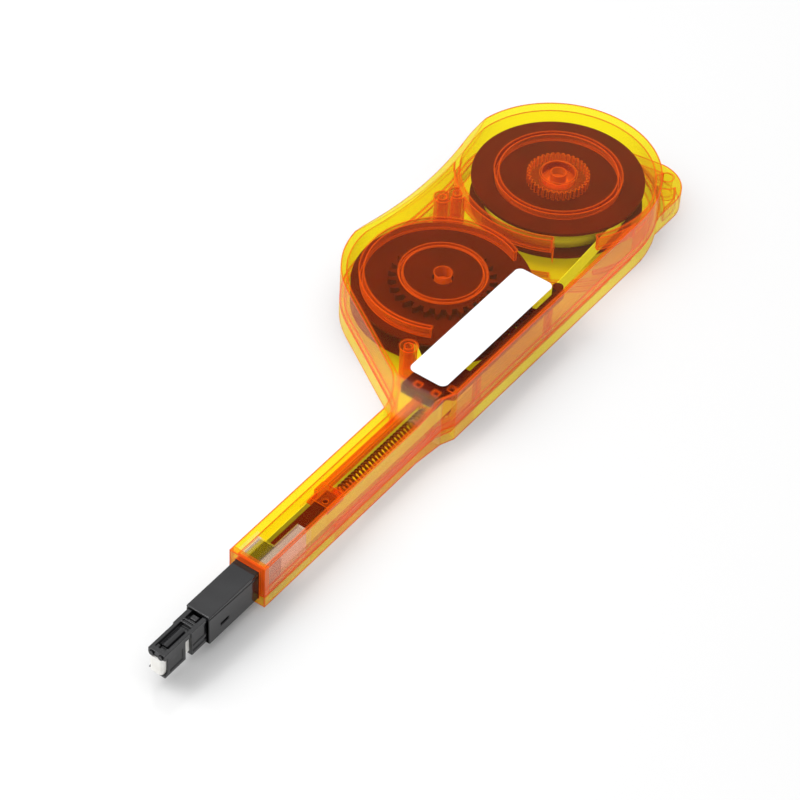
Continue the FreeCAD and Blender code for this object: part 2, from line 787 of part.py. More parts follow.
def tip_body():
    """The fixed tip: a front block with its recesses, a neck, and the rear block in the sleeve."""
    low = size("tip_bottom")
    high = size("tip_top")
    narrow = size("tip_width") / 2
    wide = size("sleeve_width") / 2 - size("sleeve_wall") - slide
    core = tip_lane - half_tape - slide
    slot = half_tape + slide
    slot_low = tape_bottom - slide
    slot_high = tape_top + slide
    recess = high - size("tip_recess")
    body = slab(tip_front, gap_front, -narrow, narrow, low, high)
    body = body.fuse([
        slab(gap_front, gap_back, -core, core, low + rib, slot_high),
        slab(gap_front, gap_back, -narrow, narrow, slot_high, high),
        slab(gap_back, tip_back, -wide, wide, low, high),
    ])
    cuts = foot_cut(slot_low, slot_high)
    for side in (-tip_lane, tip_lane):
        cuts.append(slab(tip_front, tip_back, side - slot, side + slot, slot_low, slot_high))
    # seat of the nose pad, open below on one side
    cuts.append(slab(tip_front, nose_back(), -tip_lane - slot, tip_lane + slot, slot_low, slot_high))
    cuts.append(slab(tip_front, nose_back() - rib, slot - rib, narrow, low, slot_low))
    # the long recess in the top with its ridge, and the short one behind the crossbar
    crossbar = gap_back + 2 * wall
    cuts.append(slab(tip_front + wall, gap_back + wall, rib - narrow, narrow - rib, recess, high))
    cuts.append(slab(crossbar, crossbar + 4 * wall, rib - narrow, narrow - rib, recess, high))
    cuts.append(slab(crossbar - rib, crossbar - rib / 2, rib - narrow, narrow - rib, high - rib / 2, high))
    # shallow panels in both sides, and the seats of the pins
    skin = rib / 4
    panels = [
        slab(tip_front + 2 * rib, gap_front - rib, narrow - skin, narrow, tape_bottom, middle + rib),
        slab(gap_back + rib / 2, crossbar + 2 * wall, wide - skin, wide, middle - rib, high - rib),
        slab(gap_back + rib / 2, crossbar + 2 * wall, wide - skin, wide, tape_bottom, middle - 2 * rib),
    ]
    pin = wall / 2 - slide + size("running_fit") / 2
    for side in (-1, 1):
        cuts.append(rod(tip_front, nose_back(), side * size("pin_spread"), high - rib - slide, pin))
    cuts += panels + [panel.mirror(Vector(0, 0, 0), Vector(0, 1, 0)) for panel in panels]
    body = body.cut(cuts)
    ridge = rod(nose_back(), gap_back, 0, recess, rib)
    block = slab(crossbar + rib, crossbar + wall + rib, -rib, rib, recess, high - rib / 2)
    ridge = ridge.common(slab(tip_front, gap_back, -narrow, narrow, recess, high))
    return feature("tip_body", body.fuse([ridge, block]).removeSplitter())


def tip_carrier():
    """The bar that holds the tip from the barrel's floor, with two posts that draw the tape in."""
    low = size("tip_bottom")
    high = low + size("carrier_thickness")
    reach = lane - half_tape - slide
    post = size("sleeve_wall")
    bar = slab(tip_back, carrier_end, gap - tip_lane, tip_lane - gap, low, high)
    pieces = [slab(sleeve_back - rib, sleeve_back + rib, -reach, reach, low, high)]
    for side in (-1, 1):
        pieces.append(tube(sleeve_back, side * (reach - post), low, tape_top, post))
    return feature("tip_carrier", bar.fuse(pieces).removeSplitter())


def nose_outline(half_width, front, radius, back):
    """Plan of the nose: two straight sides joined by a face with two round corners."""
    centre = front + radius
    return [
        line(Vector(back, half_width, 0), Vector(centre, half_width, 0)),
        arc_between(Vector(centre, half_width - radius, 0), radius, 90, 180),
        line(Vector(front, half_width - radius, 0), Vector(front, radius - half_width, 0)),
        arc_between(Vector(centre, radius - half_width, 0), radius, 180, 270),
        line(Vector(centre, -half_width, 0), Vector(back, -half_width, 0)),
        line(Vector(back, -half_width, 0), Vector(back, half_width, 0)),
    ]


def nose_back():
    return tip_front + 2 * wall


def nose_solid(inset, back, low, high):
    front = tip_front - size("nose_stand") + inset
    edges = nose_outline(tip_lane + half_tape - inset, front, size("nose_round") - inset, back)
    face = Part.Face(Part.Wire(edges))
    face.translate(Vector(0, 0, low))
    return face.extrude(Vector(0, 0, high - low))


def nose_pad():
    skin = 2 * half_tape
    return feature("nose_pad", nose_solid(skin, nose_back(), tape_bottom + slide, tape_top - slide))


def tape_nose():
    """The tape's turn round the nose pad."""
    outer = nose_solid(0, nose_back(), tape_bottom, tape_top)
    inner = nose_solid(2 * half_tape, nose_back(), tape_bottom, tape_top)
    return feature("tape_nose", outer.cut(inner))


# ---------------------------------------------------------------- tape
ARC_STEPS = 4


def strip(name, points):
    """Tape standing on edge along a path: each side of it is the path moved by half a thickness."""
    sides = ([], [])
    for index, point in enumerate(points):
        before = points[max(index - 1, 0)]
        after = points[min(index + 1, len(points) - 1)]
        ways = [way.normalize() for way in (point - before, after - point) if way.Length > 0]
        mean = sum(ways[1:], ways[0]).normalize()
        spread = half_tape / max(0.1, mean.dot(ways[0]))
        normal = Vector(-mean.y, mean.x, 0) * spread
        sides[0].append(point + normal)
        sides[1].append(point - normal)
    loop = sides[0] + sides[1][::-1]
    face = Part.Face(Part.makePolygon(loop + loop[:1]))
    face.translate(Vector(0, 0, tape_bottom))
    return feature(name, face.extrude(Vector(0, 0, size("tape_width"))))


def tangent_heading(first, first_radius, second, second_radius):
    """Heading of the line that passes two circles; a radius below zero puts its circle on the right."""
    rise = (second_radius - first_radius) / (second - first).Length
    return bearing(first, second) - math.degrees(math.asin(rise))


def arc_points(centre, radius, start, end):
    """Points round a circle between two angles in degrees."""
    turn = (end - start) / ARC_STEPS
    return [polar(centre, radius, start + turn * step) for step in range(ARC_STEPS + 1)]


def tape_feed():
    """From the supply roll, round the feed roller and down the barrel to the tip."""
    roll = Vector(supply_x, supply_y, 0)
    radius = size("supply_roll") + half_tape + slide
    roller = Vector(roller_x, feed_roller_y, 0)
    heading = tangent_heading(roll, -radius, roller, -roller_orbit)
    points = [polar(roll, radius, heading + 90)]
    points += arc_points(roller, roller_orbit, heading + 90, -90)
    points += [Vector(sleeve_back, -lane, 0), Vector(tip_back + 3 * wall / 2, -tip_lane, 0),
               Vector(nose_back() + slide, -tip_lane, 0)]
    return strip("tape_feed", points)


def tape_return():
    """From the tip, back up the barrel, round the return roller and on to the take-up roll."""
    roll = Vector(0, takeup_y, 0)
    radius = size("takeup_roll") + half_tape + slide
    roller = Vector(roller_x, return_roller_y, 0)
    heading = tangent_heading(roller, roller_orbit, roll, -radius)
    points = [Vector(nose_back() + slide, tip_lane, 0), Vector(tip_back + 3 * wall / 2, tip_lane, 0),
              Vector(sleeve_back, lane, 0)]
    points += arc_points(roller, roller_orbit, -90, heading - 90)
    points.append(polar(roll, radius, heading + 90))
    return strip("tape_return", points)


# ---------------------------------------------------------------- turned and padded pieces
COIL_SIDES = 8
MITRED = 1


def both(*pairs):
    """Corner formulas written as alternate radius and height texts."""
    return [(pairs[index], pairs[index + 1]) for index in range(0, len(pairs), 2)]


FLANGE = "flange_thickness"
REEL_PLACE = "tape_bottom - sliding_fit - flange_thickness"
REEL_GAP = "(tape_width + 2 * sliding_fit)"
SUPPLY_Y = "supply_chamber + tail_inset - spine_offset"
ROLLER_ORBIT = "roller_radius + sliding_fit + tape_thickness / 2"


def takeup_reel():
    bore = "takeup_post + running_fit"
    under = FLANGE + " + " + REEL_GAP
    full = "2 * " + FLANGE + " + " + REEL_GAP
    return turned("takeup_reel", both(
        bore, "0", "takeup_flange", "0", "takeup_flange", FLANGE, "takeup_hub", FLANGE,
        "takeup_hub", under, "takeup_flange", under, "takeup_flange", full, bore, full,
    ), y="takeup_y", z=REEL_PLACE)


def supply_reel():
    """The supply reel, whose upper flange is dished under the lid's ring."""
    bore = "supply_post + running_fit"
    under = FLANGE + " + " + REEL_GAP + " + dish_rise"
    dish = under + " + dish_thickness"
    edge = "dish_radius + dish_thickness"
    rim = under + " + dish_depth"
    full = rim + " + dish_thickness"
    return turned("supply_reel", both(
        bore, "0", "supply_flange", "0", "supply_flange", FLANGE, "supply_hub", FLANGE,
        "supply_hub", under, edge, under, edge, rim, "supply_flange", rim,
        "supply_flange", full, "dish_radius", full, "dish_radius", dish, bore, dish,
    ), x="supply_x", y=SUPPLY_Y, z=REEL_PLACE)


def roll(name, hub, radius, x, y):
    bore = hub + " + running_fit"
    return turned(name, both(bore, "0", radius, "0", radius, "tape_width", bore, "tape_width"),
                  x=x, y=y, z="tape_bottom")


def guide_roller(name, y):
    bore = "roller_pin + running_fit"
    rim = "flange_thickness - sliding_fit"
    high = "flange_thickness + tape_width + 3 * sliding_fit"
    full = "2 * flange_thickness + tape_width + 2 * sliding_fit"
    return turned(name, both(
        bore, "0", "roller_rim", "0", "roller_rim", rim, "roller_radius", rim,
        "roller_radius", high, "roller_rim", high, "roller_rim", full, bore, full,
    ), x="-roller_x", y=y, z=REEL_PLACE)


def roller_pins():
    pins = []
    for index, y in enumerate((ROLLER_ORBIT + " - lane", ROLLER_ORBIT + " + lane")):
        pins.append(cylinder("roller_pin_%d" % index, "-roller_x", y, "wall", "roller_pin",
                             "rack_bottom - wall - free_gap"))
    return fuse("roller_pins", pins)


def nose_pins():
    """The two locating pins at the top of the tip's front face."""
    pins = []
    front = "-barrel_reach - tip_reach - wall / 4"
    height = "tip_top - rib_thickness - sliding_fit"
    for index, side in enumerate(("-", "")):
        pins.append(cylinder("nose_pin_%d" % index, front, side + "pin_spread", height,
                             "wall / 2 - sliding_fit", "2 * wall", Vector(1, 0, 0)))
    return fuse("nose_pins", pins)


def crown():
    """The ring of fine teeth that turns with the supply reel."""
    count = int(size("crown_teeth"))
    outer = size("crown_radius")
    turn = 2 * math.pi / count
    corners = []
    for tooth in range(count):
        for share, radius in ((0.0, outer - rib), (0.35, outer), (0.65, outer)):
            angle = (tooth + share) * turn
            corners.append((radius * math.cos(angle), radius * math.sin(angle)))
    ring = plate(corners, 0, size("crown_height"))
    item = feature("hub_ring", ring.cut(Part.makeCylinder(size("crown_bore"), size("crown_height"))))
    item.Placement.Base = Vector(supply_x, supply_y, dish_floor)
    return item


def return_spring():
    """The compression spring between the seat and the stop, as a coil of short straight pieces."""
    length = spring_back - spring_front
    wire = size("spring_wire")
    radius = size("spring_radius") - wire / 2
    half = wire / 2
    steps = int(size("spring_turns")) * COIL_SIDES
    turn = 2 * math.pi / COIL_SIDES
    rise = (length - wire) / steps
    path = [Vector(radius * math.cos(step * turn), radius * math.sin(step * turn), step * rise)
            for step in range(steps + 1)]
    square = ((-half, -half), (half, -half), (half, half), (-half, half))
    corners = [Vector(radius + across, 0, along) for across, along in square]
    section = Part.makePolygon(corners + corners[:1])
    coil = Part.Wire(Part.makePolygon(path).Edges).makePipeShell([section], True, False, MITRED)
    item = feature("return_spring", coil)
    item.Placement = FreeCAD.Placement(Vector(spring_front + half, spring_y, middle),
                                       FreeCAD.Rotation(UP, Vector(1, 0, 0)))
    return item


def label_plate():
    body = padded("label_plate", both(
        "0", "0", "label_length", "0", "label_length", "label_width", "0", "label_width",
    ), "label_thickness", x="-label_front", y="-label_near", z="body_thickness")
    pad = body.Group[-1]
    document.recompute()
    names = []
    for index, edge in enumerate(pad.Shape.Edges, start=1):
        low, high = edge.Vertexes
        if abs(low.Z - high.Z) > size("label_thickness") / 2:
            names.append("Edge%d" % index)
    rounded = body.newObject("PartDesign::Fillet", "label_corners")
    rounded.Base = (pad, names)
    bind(rounded, "Radius", "label_corner")
    return body


# ---------------------------------------------------------------- the assembly
def build_parts():
    gear_gap = math.pi / size("takeup_teeth")
    return [
        feature("lower_shell", lower_shell()),
        feature("upper_shell", upper_shell()),
        label_plate(),
        front_guide(),
        tip_body(),
        tip_carrier(),
        nose_pad(),
        nose_pins(),
        tape_nose(),
        tape_feed(),
        tape_return(),
        return_spring(),
        roller_pins(),
        nozzle_sleeve(),
        sleeve_cover(),
        slider_bar(),
        spring_seat(),
        rack_bar(),
        gear("idler_gear", size("idler_teeth"), -math.pi / 2, 0, idler_y, idler_low, gear_top,
             size("idler_pin") + size("running_fit")),
        takeup_reel(),
        gear("takeup_gear", size("takeup_teeth"), gear_gap - math.pi / 2, 0, takeup_y, flange_top, gear_top,
             size("takeup_post") + size("running_fit")),
        roll("takeup_roll", "takeup_hub", "takeup_roll", "0", "takeup_y"),
        supply_reel(),
        roll("supply_roll", "supply_hub", "supply_roll", "supply_x", SUPPLY_Y),
        crown(),
        guide_roller("feed_roller", ROLLER_ORBIT + " - lane"),
        guide_roller("return_roller", ROLLER_ORBIT + " + lane"),
    ]


parts = build_parts()
document.recompute()
for item in document.Objects:
    bad = [state for state in item.State if state in ("Invalid", "Error")]
    if bad:
        raise RuntimeError("%s is %s" % (item.Label, bad))
os.makedirs("parts", exist_ok=True)
for item in parts:
    if item.Shape.isNull() or not item.Shape.isValid():
        raise RuntimeError("%s has no valid shape" % item.Label)
    item.Shape.exportStep("parts/%s.step" % item.Label)
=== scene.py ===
import json
import math

import bmesh
import bpy
from mathutils import Matrix, Vector


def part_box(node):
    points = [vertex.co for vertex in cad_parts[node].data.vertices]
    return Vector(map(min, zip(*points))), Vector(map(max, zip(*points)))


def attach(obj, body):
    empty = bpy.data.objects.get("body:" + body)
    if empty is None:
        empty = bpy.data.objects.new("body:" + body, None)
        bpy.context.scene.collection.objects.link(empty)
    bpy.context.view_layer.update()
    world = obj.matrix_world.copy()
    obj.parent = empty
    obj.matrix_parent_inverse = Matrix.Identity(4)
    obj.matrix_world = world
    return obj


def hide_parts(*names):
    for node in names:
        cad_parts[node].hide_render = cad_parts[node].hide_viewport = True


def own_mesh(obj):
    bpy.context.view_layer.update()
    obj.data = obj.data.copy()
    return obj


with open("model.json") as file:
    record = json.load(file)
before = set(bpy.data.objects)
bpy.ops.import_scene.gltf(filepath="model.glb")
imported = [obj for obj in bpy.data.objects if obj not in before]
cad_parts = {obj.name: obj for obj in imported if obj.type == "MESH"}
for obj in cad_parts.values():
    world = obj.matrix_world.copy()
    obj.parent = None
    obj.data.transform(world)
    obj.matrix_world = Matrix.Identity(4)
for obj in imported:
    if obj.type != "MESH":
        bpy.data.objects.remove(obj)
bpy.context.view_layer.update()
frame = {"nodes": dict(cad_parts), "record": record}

MM = 0.001

# ---------------------------------------------------------------- camera
AIM = Vector((-42.14, 9.29, 7.2)) * MM
AZIMUTH, ELEVATION, ROLL = (math.radians(angle) for angle in (33.88, 44.43, 3.51))
DISTANCE = 0.7994
LENS = 129.3
SENSOR_WIDTH = 36
NEAR_CLIP = 0.01


def place_camera():
    flat = math.cos(ELEVATION)
    forward = Vector((flat * math.cos(AZIMUTH), flat * math.sin(AZIMUTH), -math.sin(ELEVATION)))
    level = Vector((math.sin(AZIMUTH), -math.cos(AZIMUTH), 0))
    above = level.cross(forward)
    right = level * math.cos(ROLL) + above * math.sin(ROLL)
    up = above * math.cos(ROLL) - level * math.sin(ROLL)
    camera = bpy.data.objects.new("camera", bpy.data.cameras.new("camera"))
    camera.data.lens = LENS
    camera.data.sensor_width = SENSOR_WIDTH
    camera.data.clip_start = NEAR_CLIP
    turn = Matrix((right, up, -forward)).transposed()
    camera.matrix_world = Matrix.Translation(AIM - forward * DISTANCE) @ turn.to_4x4()
    bpy.context.scene.collection.objects.link(camera)
    bpy.context.scene.camera = camera


# ---------------------------------------------------------------- shader building
class Signal:
    """One output socket, with the operators that shader maths needs."""

    def __init__(self, nodes, socket):
        self.nodes = nodes
        self.socket = socket

    def maths(self, operation, *others):
        return self.nodes.node("ShaderNodeMath", {"operation": operation}, [self, *others])

    def __add__(self, other):
        return self.maths("ADD", other)

    def __sub__(self, other):
        return self.maths("SUBTRACT", other)

    def __rsub__(self, other):
        return self.nodes.node("ShaderNodeMath", {"operation": "SUBTRACT"}, [other, self])

    def __mul__(self, other):
        return self.maths("MULTIPLY", other)

    __radd__ = __add__
    __rmul__ = __mul__

    def ramp(self, low, high):
        """Nought up to low, one from high on."""
        return self.nodes.node("ShaderNodeMapRange", {"clamp": True}, [self, low, high, 0.0, 1.0])


class Nodes:
    """A node tree that is built by expressions."""

    def __init__(self, tree):
        self.tree = tree

    def node(self, kind, settings=None, inputs=(), output=0):
        item = self.tree.nodes.new(kind)
        for key, value in (settings or {}).items():
            setattr(item, key, value)
        pairs = inputs.items() if isinstance(inputs, dict) else enumerate(inputs)
        for key, value in pairs:
            self.feed(item.inputs[key], value)
        return Signal(self, item.outputs[output])

    def feed(self, socket, value):
        if isinstance(value, Signal):
            self.tree.links.new(value.socket, socket)
        else:
            socket.default_value = value

    def ray(self, *kinds):
        """One for rays of any of these kinds, nought for the rest."""
        first, *rest = (self.node("ShaderNodeLightPath", output=kind) for kind in kinds)
        for other in rest:
            first = first.maths("MAXIMUM", other)
        return first


class Finish(Nodes):
    """A material and its nodes."""

    CLOUD_RAMP = (0.3, 0.7)
    EDGE_RAMP = (0.012, 0.06)
    EDGE_SAMPLES = 6
    MIRROR_MOST = 0.08

    def __init__(self, name):
        self.material = bpy.data.materials.new(name)
        self.material.use_nodes = True
        super().__init__(self.material.node_tree)
        self.tree.nodes.clear()
        self.output = self.tree.nodes.new("ShaderNodeOutputMaterial")

    def surface(self, **sockets):
        """The Principled shader, its sockets given by their names' words joined by underlines."""
        named = {key.replace("_", " "): value for key, value in sockets.items()}
        shader = self.node("ShaderNodeBsdfPrincipled", inputs=named)
        self.show(shader)
        return shader

    def show(self, shader):
        self.tree.links.new(shader.socket, self.output.inputs["Surface"])

    def show_clear(self, shader):
        """Shows a shader to sight, while the rays that carry light pass almost untinted."""
        light = self.ray("Is Shadow Ray", "Is Diffuse Ray")
        self.show(self.mix(light, shader, self.clear(PASS_LAMP)))

    def mix(self, factor, first, second):
        return self.node("ShaderNodeMixShader", inputs=[factor, first, second])

    def clear(self, tint):
        return self.node("ShaderNodeBsdfTransparent", inputs=[tint])

    def gloss(self, roughness):
        return self.node("ShaderNodeBsdfAnisotropic",
                         inputs={"Color": (1, 1, 1, 1), "Roughness": roughness})

    def normal(self):
        return self.node("ShaderNodeNewGeometry", output="Normal")

    def edges(self, reach):
        """One along a piece's edges, fading to nought within the reach."""
        rounded_normal = self.node("ShaderNodeBevel", {"samples": self.EDGE_SAMPLES}, {"Radius": reach})
        agree = self.node("ShaderNodeVectorMath", {"operation": "DOT_PRODUCT"},
                          [rounded_normal, self.normal()], output=1)
        return (1 - agree).ramp(*self.EDGE_RAMP)

    def place(self):
        return self.node("ShaderNodeTexCoord", output="Object")

    def axis(self, name):
        return self.node("ShaderNodeSeparateXYZ", inputs=[self.place()], output=name)

    def noise(self, scale, detail):
        return self.node("ShaderNodeTexNoise",
                         inputs={"Vector": self.place(), "Scale": scale, "Detail": detail})

    def blend(self, factor, first, second):
        return self.node("ShaderNodeMix", {"data_type": "RGBA"}, {0: factor, 6: first, 7: second}, output=2)

    def clouded(self, cloud, first, second):
        """Two near tones in soft clouds."""
        return self.blend(cloud.ramp(*self.CLOUD_RAMP), rgb(first), rgb(second))

    def facing(self, power):
        """Nought where a face is seen head on, one where it is skimmed, from both of its sides."""
        weight = self.node("ShaderNodeLayerWeight", inputs={"Blend": 0.5}, output="Facing")
        return weight.maths("POWER", power)

    def mirrored(self):
        """The share of light that a smooth plastic skin throws back."""
        return (self.facing(4.0) * 0.7 + 0.001).maths("MINIMUM", self.MIRROR_MOST)

    def skimmed(self):
        """How far the sight line runs inside a wall that it skims."""
        return self.facing(3.0)

    def bump(self, height, strength, distance):
        return self.node("ShaderNodeBump",
                         inputs={"Height": height, "Strength": strength, "Distance": distance})


def rgb(text):
    """A colour written as a screen shows it, turned into light."""
    parts = [int(text[place:place + 2], 16) / 255 for place in (1, 3, 5)]
    light = (part / 12.92 if part < 0.04045 else ((part + 0.055) / 1.055) ** 2.4 for part in parts)
    return tuple(light) + (1.0,)


# ---------------------------------------------------------------- materials
AMBER = rgb("#FC5E0C")
RIM = rgb("#F05806")
# golden body for the lower shell, painted light that lifts the shade seen there
GOLD_SHADE_LIFT = rgb("#FFBE14")
PASS = (1.0, 0.965, 0.16, 1.0)
PASS_DEEP = (1.0, 0.42, 0.03, 1.0)
PASS_THIN = (1.0, 0.95, 0.86, 1.0)
PASS_LAMP = (0.995, 0.955, 0.93, 1.0)
PASS_ORANGE = (1.0, 0.6, 0.08, 1)
PASS_CLEAR = (1.0, 0.95, 0.93, 1)

# Where the shells' features stand, in millimetres
SUPPLY = (58.2, 24.7)
TAKEUP = (0.0, 25.4)
POSTS = ((27.0, 45.0), (31.2, 42.6), (-31.0, 14.9))
POST_RADIUS = 2.7
SUPPLY_RINGS, TAKEUP_RINGS = 19.3, 24.2
SUPPLY_WALL = (29.6, 31.2)
WALL_END, WALL_SLANT = 65.0, 0.325
SUPPLY_BOSS, TAKEUP_BOSS, BOSS_Z = 4.5, 3.2, (3.0, 16.3)
MOUTH_X = -120.3
# the near side's band of the barrel, which takes extra lit body as painted light
LIFTED_SIDE_Y, LIFTED_SIDE_Z = (-8.0, -4.6), (5.8, 18.2)
BRACKET_X, BRACKET_Y = (MOUTH_X, -112.4), (1.8, 4.3)
COLLAR_X, COLLAR_Y = (MOUTH_X, -102.5), (-8.0, -1.6)
GUIDE_Z = (3.0, 16.7)
CHANNEL_X, CHANNEL_Y, CHANNEL_TOP = (-92.0, -30.0), (-8.0, 8.0), 8.0
FLOOR_TOP = 5.8

SHELL_EDGE = 0.0011
SHELL_DENSEST = 0.88


def either(first, *others):
    """The greatest of some masks."""
    for other in others:
        first = first.maths("MAXIMUM", other)
    return first


def below(value, limit):
    return value.maths("LESS_THAN", limit)


def within(value, limits):
    low, high = limits
    return value.maths("GREATER_THAN", low) * below(value, high)


def amber_shell(name):
    """See-through amber: yellow where it is thin, orange at its edges, ribs and double walls."""
    finish = Finish(name)
    x, y, z = (finish.axis(letter) * (1 / MM) for letter in "XYZ")

    def away(centre):
        """Distance from an upright axis, in millimetres."""
        across, along = x - centre[0], y - centre[1]
        return (across * across + along * along).maths("SQRT")

    height = finish.node("ShaderNodeSeparateXYZ", inputs=[finish.normal()], output=2)
    side = (1 - height.maths("ABSOLUTE")).ramp(0.15, 0.6)
    edge = finish.edges(SHELL_EDGE)
    supply, takeup = away(SUPPLY), away(TAKEUP)

    inner_wall = within(supply, SUPPLY_WALL) * below(x + y * WALL_SLANT, WALL_END)
    posts = [below(away(post), POST_RADIUS) for post in POSTS]
    ribs = either(below(supply, SUPPLY_RINGS), below(takeup, TAKEUP_RINGS), inner_wall, *posts)
    dense = either(ribs * side, below(x, MOUTH_X))
    # extra lit orange body along the near side wall is painted light: it lifts the shade seen through that
    # wall
    lifted_near_side = within(y, LIFTED_SIDE_Y) * within(z, LIFTED_SIDE_Z)
    bracket = within(x, BRACKET_X) * within(y, BRACKET_Y)
    collar = within(x, COLLAR_X) * within(y, COLLAR_Y)
    guide = either(collar, bracket) * within(z, GUIDE_Z)
    channel = within(x, CHANNEL_X) * within(y, CHANNEL_Y) * below(z, CHANNEL_TOP)
    boss = either(below(supply, SUPPLY_BOSS), below(takeup, TAKEUP_BOSS)) * within(z, BOSS_Z)
    # the lower shell, outside the channel, takes a golden lit body as painted light against its shade
    floor = below(z, FLOOR_TOP) * (1 - channel)

    cloud = finish.noise(40, 2).ramp(0.2, 0.8)
    # golden over the lower shell as painted light, RIM along the edges
    tone = finish.blend(edge, finish.blend(floor, AMBER, GOLD_SHADE_LIFT), RIM)
    body = finish.surface(Base_Color=tone, Roughness=cloud * 0.1 + 0.3, Specular_IOR_Level=0.08)

    # how much of the plastic's own colour each region shows; the near side's band and the floor below
    # FLOOR_TOP take extra lit body there as painted light, lifting the shade seen through them
    share = (edge * 0.75 + dense * 0.32 + side * lifted_near_side * 0.22 + channel * 0.25 + floor * 0.2
             + boss * 0.5 + 0.012 + side * finish.skimmed() * 0.4)
    # how far the light that passes turns from yellow to deep orange
    deep = (edge * 0.8 + dense * 0.4 + side * finish.skimmed() * 0.15).maths("MINIMUM", 1.0)
    tint = finish.blend(deep, finish.blend(guide, PASS, PASS_THIN), PASS_DEEP)
    seen = finish.mix(share.maths("MINIMUM", SHELL_DENSEST), finish.clear(tint), body)
    seen = finish.mix(finish.mirrored() * (1 - edge * 0.7), seen, finish.gloss(0.04))
    finish.show_clear(seen)
    return finish.material


def orange_moulding(name):
    """Denser orange moulding, just see-through; its edges take a lighter orange, a painted highlight."""
    finish = Finish(name)
    cloud = finish.noise(150, 2)
    edge = finish.edges(0.0004)
    # the lighter orange along the edges is a painted highlight on the teeth and rims
    body = finish.surface(Base_Color=finish.blend(edge, rgb("#e8480a"), rgb("#ff6a14")),
                          Roughness=cloud * 0.1 + 0.22, Specular_IOR_Level=0.1)
    seen = finish.mix(edge * 0.6 + 0.25, finish.clear(PASS_ORANGE), body)
    finish.show_clear(finish.mix(finish.mirrored(), seen, finish.gloss(0.06)))
    return finish.material


def clear_moulding(name):
    """Almost clear moulding, a little hazy at its edges and along its arm."""
    finish = Finish(name)
    body = finish.surface(Base_Color=rgb("#f1ebe8"), Roughness=finish.noise(80, 2) * 0.06 + 0.3)
    arm = (finish.axis("Y") + 0.0001).maths("ABSOLUTE").maths("GREATER_THAN", 0.0018)
    haze = finish.edges(0.0005) * 0.5 + arm * 0.2 + 0.05
    seen = finish.mix(haze, finish.clear(PASS_CLEAR), body)
    finish.show_clear(finish.mix(finish.mirrored(), seen, finish.gloss(0.05)))
    return finish.material


def black_moulding(name, tone, rough):
    finish = Finish(name)
    cloud = finish.noise(120, 2)
    finish.surface(Base_Color=finish.clouded(cloud, tone, "#1e1e20"), Roughness=cloud * 0.08 + rough,
                   Normal=finish.bump(finish.noise(2600, 3), 0.05, 0.00004))
    return finish.material


def inner_black(name):
    """The dark brown-black of the reels and of the parts that run inside the shell."""
    finish = Finish(name)
    cloud = finish.noise(90, 2)
    finish.surface(Base_Color=finish.clouded(cloud, "#540804", "#640d05"),
                   Roughness=cloud * 0.1 + 0.5, Specular_IOR_Level=0.03)
    return finish.material


def woven_tape(name):
    finish = Finish(name)
    weave = finish.node("ShaderNodeTexWave", {"wave_type": "BANDS", "bands_direction": "Z"},
                        {"Vector": finish.place(), "Scale": 900.0, "Distortion": 1.0})
    cloud = finish.noise(300, 2)
    finish.surface(Base_Color=finish.clouded(cloud, "#f2f0ea", "#fbfaf6"),
                   Roughness=cloud * 0.1 + 0.8, Normal=finish.bump(weave, 0.2, 0.00005))
    return finish.material


def grained(name, grain_size, tones, rough, strength, depth):
    """A pale matt skin with a fine grain."""
    finish = Finish(name)
    grain = finish.noise(*grain_size)
    dark, light = tones
    finish.surface(Base_Color=finish.blend(grain, rgb(dark), rgb(light)),
                   Roughness=grain * 0.1 + rough, Normal=finish.bump(grain, strength, depth))
    return finish.material


def metal(name, tones, rough):
    finish = Finish(name)
    cloud = finish.noise(500, 2)
    dark, light = tones
    finish.surface(Base_Color=finish.blend(cloud, rgb(dark), rgb(light)), Metallic=1.0,
                   Roughness=cloud * 0.15 + rough)
    return finish.material


FINISHES = {
    "shell_orange": amber_shell("amber_shell"),
    "label_white": grained("label_film", (1500, 2), ("#f4f4f4", "#fafafa"), 0.45, 0.1, 0.00003),
    "clear_plastic": clear_moulding("clear_moulding"),
    "black_plastic": black_moulding("black_moulding", "#161618", 0.1),
    "pad_white": grained("soft_pad", (1200, 3), ("#eceae4", "#f8f7f3"), 0.6, 0.2, 0.00005),
    "black_steel": black_moulding("dark_pin", "#101011", 0.2),
    "tape_white": woven_tape("woven_tape"),
    "spring_steel": metal("spring_wire", ("#6a2a12", "#7c3a1e"), 0.35),
    "orange_plastic": orange_moulding("orange_moulding"),
    "reel_black": inner_black("inner_black"),
    "pin_steel": metal("pin_steel", ("#8e8e90", "#b5b5b8"), 0.25),
}
OWN_FINISH = {
    "slider_bar": "reel_black",
    "rack_bar": "reel_black",
    "feed_roller": "reel_black",
    "return_roller": "reel_black",
    "roller_pins": "pin_steel",
}


def dress_frame():
    """Each CAD node takes its own finish, or else its slot's."""
    slots = {item["node"]: item["material_slot"] for item in frame["record"]["subparts"]}
    for name, node in frame["nodes"].items():
        for slot in node.material_slots:
            slot.material = FINISHES[OWN_FINISH.get(name, slots[name])]


# ---------------------------------------------------------------- meshes
WIRE = 0.00062
SPRING_TURNS = 26
WIRE_SIDES = 8
TURN_STEPS = 24

# node, body, slot, width of the softened edge, play in whatever holds it
SOFTENED = (
    ("nozzle_sleeve", "slider", "black_plastic", 0.0003, 0.0),
    ("sleeve_cover", "slider", "black_plastic", 0.00025, 0.0),
    ("tip_body", "housing", "black_plastic", 0.00014, 0.0),
    ("front_guide", "housing", "clear_plastic", 0.00015, 0.00006),
    ("tape_nose", "housing", "tape_white", 0.00005, 0.0),
    ("tape_feed", "housing", "tape_white", 0.00005, 0.0),
    ("tape_return", "housing", "tape_white", 0.00005, 0.0),
    ("nose_pad", "housing", "pad_white", 0.0002, 0.0),
)
WELD = 0.000002
FLAT_ANGLE = 0.01
SMOOTH_ANGLE = 0.5
BEVEL_ANGLE = math.radians(35)
BEVEL_STEPS = 2

